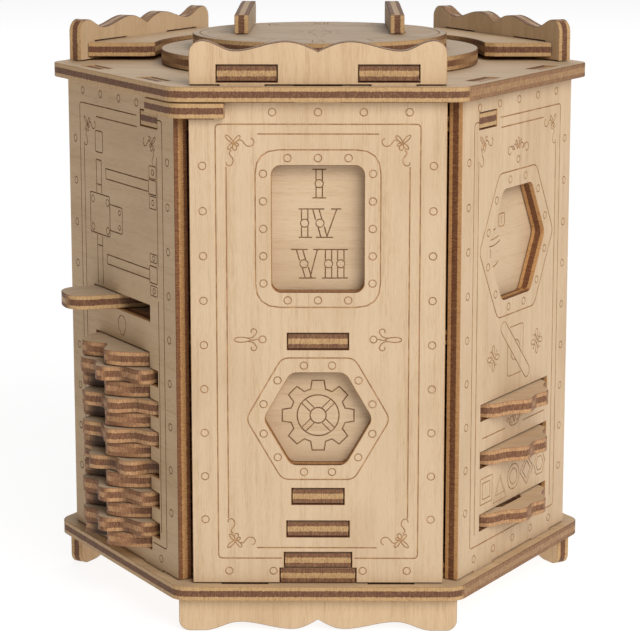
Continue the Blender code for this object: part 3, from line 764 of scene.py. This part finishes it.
# --- Materials ------------------------------------------------------------------------
class Nodes:
    """A material's node tree, with short calls for the nodes that the woods need."""

    def __init__(self, name):
        self.material = bpy.data.materials.new(name)
        self.material.use_nodes = True
        self.tree = self.material.node_tree
        self.shader = self.tree.nodes["Principled BSDF"]

    def link(self, value, socket):
        if isinstance(value, bpy.types.NodeSocket):
            self.tree.links.new(value, socket)
        else:
            socket.default_value = value

    def attribute(self, name):
        node = self.tree.nodes.new("ShaderNodeAttribute")
        node.attribute_name = name
        return node

    def noise(self, place, stretch, detail=2.0, roughness=0.5, distortion=0.0):
        scaled = self.tree.nodes.new("ShaderNodeVectorMath")
        scaled.operation = "MULTIPLY"
        self.link(place, scaled.inputs[0])
        scaled.inputs[1].default_value = stretch
        node = self.tree.nodes.new("ShaderNodeTexNoise")
        self.link(scaled.outputs[0], node.inputs["Vector"])
        node.inputs["Scale"].default_value = 1.0
        node.inputs["Detail"].default_value = detail
        node.inputs["Roughness"].default_value = roughness
        node.inputs["Distortion"].default_value = distortion
        return node.outputs["Fac"]

    def math(self, operation, a, b=0.0, c=0.0, clamp=False):
        node = self.tree.nodes.new("ShaderNodeMath")
        node.operation = operation
        node.use_clamp = clamp
        for value, socket in zip((a, b, c), node.inputs):
            self.link(value, socket)
        return node.outputs[0]

    def spread(self, value, low, high, to_low=0.0, to_high=1.0):
        node = self.tree.nodes.new("ShaderNodeMapRange")
        node.interpolation_type = "SMOOTHSTEP"
        for number, item in enumerate((value, low, high, to_low, to_high)):
            self.link(item, node.inputs[number])
        return node.outputs["Result"]

    def mix(self, share, first, second, blend="MIX"):
        node = self.tree.nodes.new("ShaderNodeMix")
        node.data_type = "RGBA"
        node.blend_type = blend
        self.link(share, node.inputs["Factor"])
        self.link(first, node.inputs["A"])
        self.link(second, node.inputs["B"])
        return node.outputs["Result"]

    def bump(self, height, strength, distance):
        node = self.tree.nodes.new("ShaderNodeBump")
        node.inputs["Strength"].default_value = strength
        node.inputs["Distance"].default_value = distance
        self.link(height, node.inputs["Height"])
        self.link(node.outputs["Normal"], self.shader.inputs["Normal"])

    def finish(self, colour, roughness, specular=0.3):
        self.link(colour, self.shader.inputs["Base Color"])
        self.link(roughness, self.shader.inputs["Roughness"])
        self.shader.inputs["Specular IOR Level"].default_value = specular
        return self.material


# light, middle and dark wood of the face
TONES = {
    "pale": ((0.60, 0.44, 0.285), (0.545, 0.385, 0.238), (0.43, 0.28, 0.155)),
    "warm": ((0.60, 0.43, 0.262), (0.53, 0.365, 0.213), (0.42, 0.265, 0.14)),
    "grey": ((0.53, 0.405, 0.28), (0.465, 0.345, 0.228), (0.37, 0.26, 0.16)),
    # a darker copy of the pale face, as painted shade for the front left panel, which faces away from the
    # key light
    "tan": ((0.53, 0.375, 0.225), (0.475, 0.325, 0.187), (0.375, 0.235, 0.122)),
}
# light, middle and burnt wood of the edge, and how far its plies differ
EDGES = {
    "clean": ((0.50, 0.315, 0.145), (0.29, 0.15, 0.065), (0.115, 0.045, 0.024), 0.66),
    "worn": ((0.54, 0.31, 0.145), (0.29, 0.138, 0.062), (0.110, 0.043, 0.022), 0.46),
    "panel": ((0.50, 0.275, 0.11), (0.295, 0.132, 0.046), (0.118, 0.042, 0.018), 0.66),
}
# lighter and darker scorch of the engraved lines
CHARS = {
    "deep": ((0.34, 0.19, 0.09), (0.18, 0.09, 0.04)),
    "faint": ((0.54, 0.33, 0.165), (0.36, 0.19, 0.085)),
}
# near-black of the painted shade that darkens the edges deep in the wheels' clefts
PAINTED_SHADE_COLOUR = (0.03, 0.016, 0.01)
CORE_HALF = 0.8           # half the middle ply's thickness
materials = {}


def tone_of(node, kind):
    if kind == "engraved":
        return "deep" if node in ("front_left_panel", "numeral_plate", "emblem_plate") else "faint"
    if kind == "edge":
        if node.startswith(("code_wheel", "notch", "side_wheel")):
            return "worn"
        return "panel" if node.endswith("_panel") else "clean"
    if node.startswith(("dial", "code", "notch", "lever", "corner")):
        return "grey"
    if node.startswith(("skirt", "base", "crest")):
        return "warm"
    # the front left panel gets the darker tan face as painted shade
    return "tan" if node == "front_left_panel" else "pale"


def opaque(colour):
    return (*colour, 1.0)


def face_colour(nodes, tone):
    """Birch veneer: fine fibres, broad bands along the grain, and soft patches."""
    light, middle, dark = (opaque(c) for c in TONES[tone])
    place = nodes.attribute("wood").outputs["Vector"]
    fibre = nodes.noise(place, (0.07, 3.2, 1.6), 4.0, 0.6)
    band = nodes.noise(place, (0.014, 0.42, 0.4), 3.0, 0.55, 0.4)
    patch = nodes.noise(place, (0.03, 0.055, 0.05), 2.0)
    fleck = nodes.noise(place, (0.55, 5.5, 3.0), 2.0)
    pore = nodes.noise(place, (0.3, 4.2, 2.4), 3.0, 0.65)
    blend = nodes.math("MULTIPLY_ADD", fibre, 0.40, nodes.math("MULTIPLY", band, 0.50))
    blend = nodes.math("MULTIPLY_ADD", pore, 0.55, nodes.math("ADD", blend, -0.225))
    colour = nodes.mix(nodes.spread(blend, 0.34, 0.5), middle, light)
    colour = nodes.mix(nodes.spread(blend, 0.58, 0.40, 0.0, 0.75), colour, middle)
    colour = nodes.mix(nodes.spread(blend, 0.44, 0.30, 0.0, 0.55), colour, dark)
    colour = nodes.mix(nodes.spread(patch, 0.42, 0.68, 0.0, 0.28), colour, dark)
    colour = nodes.mix(nodes.spread(fleck, 0.58, 0.78, 0.0, 0.5), colour, dark)
    return colour, fibre


def face_material(nodes, tone):
    colour, fibre = face_colour(nodes, tone)
    nodes.bump(fibre, 0.35, 0.00006)
    return nodes.finish(colour, nodes.spread(fibre, 0.3, 0.7, 0.58, 0.70), 0.25)


def edge_material(nodes, tone):
    """Laser-cut edge of three plies: each is burnt dark where the cut crosses its grain. Deep in the
    wheels' clefts the edge also carries painted shade.
    """
    wood = nodes.attribute("wood")
    place = wood.outputs["Vector"]
    depth = nodes.tree.nodes.new("ShaderNodeSeparateXYZ")
    nodes.link(place, depth.inputs[0])
    wobble = nodes.noise(place, (1.3, 1.3, 0.9), 3.0, 0.65)
    away = nodes.math("ABSOLUTE", depth.outputs["Z"])
    away = nodes.math("ADD", away, nodes.math("MULTIPLY_ADD", wobble, 0.5, -0.25))
    core = nodes.spread(away, CORE_HALF + 0.12, CORE_HALF - 0.12)
    cut = nodes.attribute("cut").outputs["Fac"]
    across = nodes.spread(cut, 0.55, 1.12)
    burnt = nodes.math("ABSOLUTE", nodes.math("SUBTRACT", core, across))
    speckle = nodes.noise(place, (3.0, 3.0, 1.6), 3.0, 0.7)
    streak = nodes.noise(place, (4.2, 4.2, 0.45), 2.0, 0.6)
    painted_cleft_shade = nodes.attribute("painted_cleft_shade").outputs["Fac"]
    light, middle, dark, contrast = EDGES[tone]
    rest = nodes.math("MULTIPLY_ADD", speckle, 0.95, 0.03 - 0.5 * contrast)
    burnt = nodes.math("MULTIPLY_ADD", burnt, contrast, rest)
    burnt = nodes.math("ADD", burnt, nodes.math("MULTIPLY_ADD", streak, 0.75, -0.36))
    seam = nodes.math("ABSOLUTE", nodes.math("SUBTRACT", away, CORE_HALF))
    burnt = nodes.math("ADD", burnt, nodes.spread(seam, 0.14, 0.02, 0.0, 0.22))
    rim = nodes.spread(nodes.math("ABSOLUTE", depth.outputs["Z"]), 1.78, 1.98, 0.0, 0.18)
    burnt = nodes.math("ADD", burnt, rim)
    colour = nodes.mix(nodes.spread(burnt, 0.08, 0.55), opaque(light), opaque(middle))
    colour = nodes.mix(nodes.spread(burnt, 0.42, 1.0), colour, opaque(dark))
    # painted shade: the edge turns near black deep in the clefts of the code wheels and notched discs,
    # where the wheels above would shade it
    colour = nodes.mix(nodes.spread(painted_cleft_shade, 0.0, 0.8, 0.0, 0.88), colour, opaque(PAINTED_SHADE_COLOUR))
    nodes.bump(speckle, 0.5, 0.00012)
    return nodes.finish(colour, nodes.spread(burnt, 0.2, 0.9, 0.5, 0.66), 0.3)


def engraved_material(nodes, tone):
    """Scorched wood in the grooves, lighter where the beam ran faster."""
    place = nodes.attribute("wood").outputs["Vector"]
    scorch = nodes.noise(place, (0.35, 0.35, 0.5), 3.0, 0.6)
    fibre = nodes.noise(place, (0.3, 3.5, 1.6), 2.0)
    share = nodes.math("MULTIPLY_ADD", scorch, 0.6, nodes.math("MULTIPLY", fibre, 0.4))
    share = nodes.spread(share, 0.35, 0.62)
    light, dark = CHARS[tone]
    colour = nodes.mix(share, opaque(light), opaque(dark))
    nodes.bump(fibre, 0.4, 0.00005)
    return nodes.finish(colour, nodes.spread(scorch, 0.3, 0.7, 0.62, 0.78), 0.2)


def wood_material(kind, tone):
    name = "%s_%s" % (kind, tone)
    if name not in materials:
        make = {"face": face_material, "edge": edge_material, "engraved": engraved_material}[kind]
        materials[name] = make(Nodes(name), tone)
    return materials[name]


def dowel_material():
    """Turned birch with its grain along Z."""
    nodes = Nodes("dowel_birch")
    place = nodes.tree.nodes.new("ShaderNodeTexCoord").outputs["Object"]
    fibre = nodes.noise(place, (2400, 2400, 60), 3.0, 0.6)
    band = nodes.noise(place, (500, 500, 18), 2.0)
    share = nodes.math("MULTIPLY_ADD", fibre, 0.5, nodes.math("MULTIPLY", band, 0.5))
    share = nodes.spread(share, 0.34, 0.62)
    colour = nodes.mix(share, (0.46, 0.29, 0.14, 1.0), (0.68, 0.48, 0.28, 1.0))
    nodes.bump(fibre, 0.3, 0.00005)
    return nodes.finish(colour, nodes.spread(fibre, 0.3, 0.7, 0.48, 0.6), 0.35)


# --- The box --------------------------------------------------------------------------
def make_panels():
    board("front_panel", FRONT, grain=UP, drawing=front_drawing())
    board("front_left_panel", FRONT_LEFT, grain=ALONG, drawing=front_left_drawing())
    board("front_right_panel", FRONT_RIGHT, grain=UP, drawing=front_right_drawing())
    board("back_left_panel", BACK_LEFT, grain=UP, drawing=back_drawing())
    board("back_right_panel", BACK_RIGHT, grain=UP, drawing=back_drawing())
    board("back_door", BACK, grain=UP, drawing=back_drawing())
    board("numeral_plate", FRONT, grain=ALONG, drawing=numeral_board())
    board("emblem_plate", FRONT, grain=ALONG, drawing=gear_board(0, 46.5))
    board("picture_plate", FRONT_RIGHT, grain=ALONG, drawing=picture_board())


# grain of the lying boards, in degrees from a board's own side
PLATE_GRAIN = -10
LATCH_GRAIN = -30
BRACKET_GRAIN = {"front": 90, "back_right": 60, "back_left": 120}
DISC_GRAIN = (110, 110, 105, 115, 115, 110, 90)
WHEEL_GRAIN = (110, 110, 60, 70, 70, 110)
SIDE_WHEEL_GRAIN = -60


def make_ends():
    for node in ("base_plate", "top_plate"):
        board(node, lying=True, grain=PLATE_GRAIN)
    for name, side in SIDES.items():
        board("crest_rail_" + name, side, grain=UP)
        board("skirt_" + name, side, grain=UP)
        board("crest_bracket_" + name, side, lying=True, grain=BRACKET_GRAIN[name])


def make_inner_boards():
    for node in ("inner_floor", "mid_shelf", "upper_shelf", "lock_plate_lower", "lock_plate_middle",
                 "lock_plate_upper"):
        board(node, lying=True, grain=UP)
    board("dial_retainer", lying=True, grain=ALONG)
    board("partition", BACK, grain=UP)
    for node in ("divider_left", "divider_right"):
        board(node, math.pi / 2, grain=UP)


# radii at which a cleft's painted shade begins and is full
DISC_PAINTED_SHADE = (17.0, 12.8)
WHEEL_PAINTED_SHADE = (19.2, 14.4)


def add_painted_shade(piece, rim, root):
    """Stores how deep each point lies in a cleft, from 0 at the rim's radius to 1 at the root's, as the
    share of painted shade that the edge material puts there.
    A notched disc's middle is measured from its whole side, opposite the notch."""
    points = [vert.co for vert in piece.data.vertices]
    low = [min(point[axis] for point in points) for axis in (0, 1)]
    high = [max(point[axis] for point in points) for axis in (0, 1)]
    middle = [(a + b) / 2 for a, b in zip(low, high)]
    if piece.name.startswith("notch"):
        middle[1] = high[1] - (high[0] - low[0]) / 2
    depths = []
    for point in points:
        away = math.hypot(point.x - middle[0], point.y - middle[1]) / MM
        depths.append(min(max((rim - away) / (rim - root), 0.0), 1.0))
    piece.data.attributes.new("painted_cleft_shade", "FLOAT", "POINT").data.foreach_set("value", depths)


def make_wheels():
    for number, grain in enumerate(DISC_GRAIN, 1):
        disc = board("notch_disc_%d" % number, FRONT_LEFT, lying=True, grain=grain)
        if number < len(DISC_GRAIN):
            add_painted_shade(disc, *DISC_PAINTED_SHADE)
    for number, grain in enumerate(WHEEL_GRAIN, 1):
        wheel = board("code_wheel_%d" % number, FRONT_LEFT, lying=True, grain=grain)
        add_painted_shade(wheel, *WHEEL_PAINTED_SHADE)
    for number in range(1, 4):
        board("side_wheel_%d" % number, FRONT_RIGHT, lying=True, grain=SIDE_WHEEL_GRAIN)


LEVER_TURN = math.radians(13)      # how far the lever rests off the panel's middle
GRIP_TILT = math.radians(1.5)


def make_moving_boards():
    board("lever", FRONT_LEFT - LEVER_TURN, lying=True, grain=UP)
    board("corner_latch", lying=True, grain=LATCH_GRAIN)
    board("dial_lower_disc", lying=True, grain=ALONG)
    board("dial_upper_disc", lying=True, grain=ALONG, drawing=dial_drawing())
    for node, sign in (("dial_grip_left", -1), ("dial_grip_right", 1)):
        board(node, sign * GRIP_TILT - math.pi / 2, grain=UP)


DOWELS = ("code_shaft", "side_shaft", "spacer_1", "spacer_2", "spacer_3", "lever_pin", "dial_spindle")


def finish_dowels():
    turned = dowel_material()
    for node in DOWELS:
        mesh = frame["nodes"][node].data
        mesh.materials.clear()
        mesh.materials.append(turned)


# --- Floor, light and camera ----------------------------------------------------------
FLOOR_GLOW = 0.86         # so that the pale floor comes out white beyond the lamps


def make_floor():
    bpy.ops.mesh.primitive_plane_add(size=16)
    floor = bpy.context.object
    floor.name = "floor"
    nodes = Nodes("floor_white")
    place = nodes.tree.nodes.new("ShaderNodeTexCoord").outputs["Object"]
    cloud = nodes.noise(place, (3.0, 3.0, 3.0))
    tint = nodes.mix(cloud, (0.22, 0.22, 0.22, 1.0), (0.25, 0.25, 0.25, 1.0))
    nodes.shader.inputs["Emission Color"].default_value = (1.0, 1.0, 1.0, 1.0)
    nodes.shader.inputs["Emission Strength"].default_value = FLOOR_GLOW
    floor.data.materials.append(nodes.finish(tint, 0.9, 0.0))
    floor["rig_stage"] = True


TARGET = Vector((0, 0, 0.08))


def make_light(name, azimuth, elevation, distance, size, power, colour=(1.0, 1.0, 1.0)):
    """A square soft box; azimuth 0 is at the front and turns to the right."""
    data = bpy.data.lights.new(name, "AREA")
    data.shape = "SQUARE"
    data.size = size
    data.energy = power
    data.color = colour
    lamp = bpy.data.objects.new(name, data)
    bpy.context.scene.collection.objects.link(lamp)
    around, up = math.radians(azimuth), math.radians(elevation)
    way = Vector((math.sin(around) * math.cos(up), -math.cos(around) * math.cos(up), math.sin(up)))
    lamp.location = TARGET + way * distance
    lamp.rotation_euler = way.to_track_quat("Z", "Y").to_euler()


def make_studio():
    make_light("key_light", 26, 32, 1.8, 1.1, 27.0, (1.0, 0.99, 0.97))
    make_light("back_light", 180, 38, 2.0, 1.4, 10.0)
    world = bpy.data.worlds.new("studio")
    world.use_nodes = True
    backdrop = world.node_tree.nodes["Background"]
    backdrop.inputs["Color"].default_value = (1.0, 1.0, 1.0, 1.0)
    backdrop.inputs["Strength"].default_value = 0.24
    bpy.context.scene.world = world
    bpy.context.scene.view_settings.view_transform = "Standard"


CAMERA_LENS = 139.5       # mm, on a sensor 36 mm wide
CAMERA_PLACE = (0.00505, -0.71596, 0.2208)
CAMERA_YAW, CAMERA_DOWN = -0.0069, 0.2019      # radians


def make_camera():
    data = bpy.data.cameras.new("camera")
    data.lens = CAMERA_LENS
    data.sensor_width = 36.0
    data.clip_start = 0.05
    data.clip_end = 50.0
    camera = bpy.data.objects.new("camera", data)
    bpy.context.scene.collection.objects.link(camera)
    camera.location = CAMERA_PLACE
    level = math.cos(CAMERA_DOWN)
    forward = Vector((math.sin(CAMERA_YAW) * level, math.cos(CAMERA_YAW) * level, -math.sin(CAMERA_DOWN)))
    camera.rotation_euler = forward.to_track_quat("-Z", "Y").to_euler()
    bpy.context.scene.camera = camera


make_camera()
make_panels()
make_ends()
make_inner_boards()
make_wheels()
make_moving_boards()
finish_dowels()
make_floor()
make_studio()

boxes = {"cad": cad_box, "visual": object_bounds()}
{name: [list(corner) for corner in box] for name, box in boxes.items()}
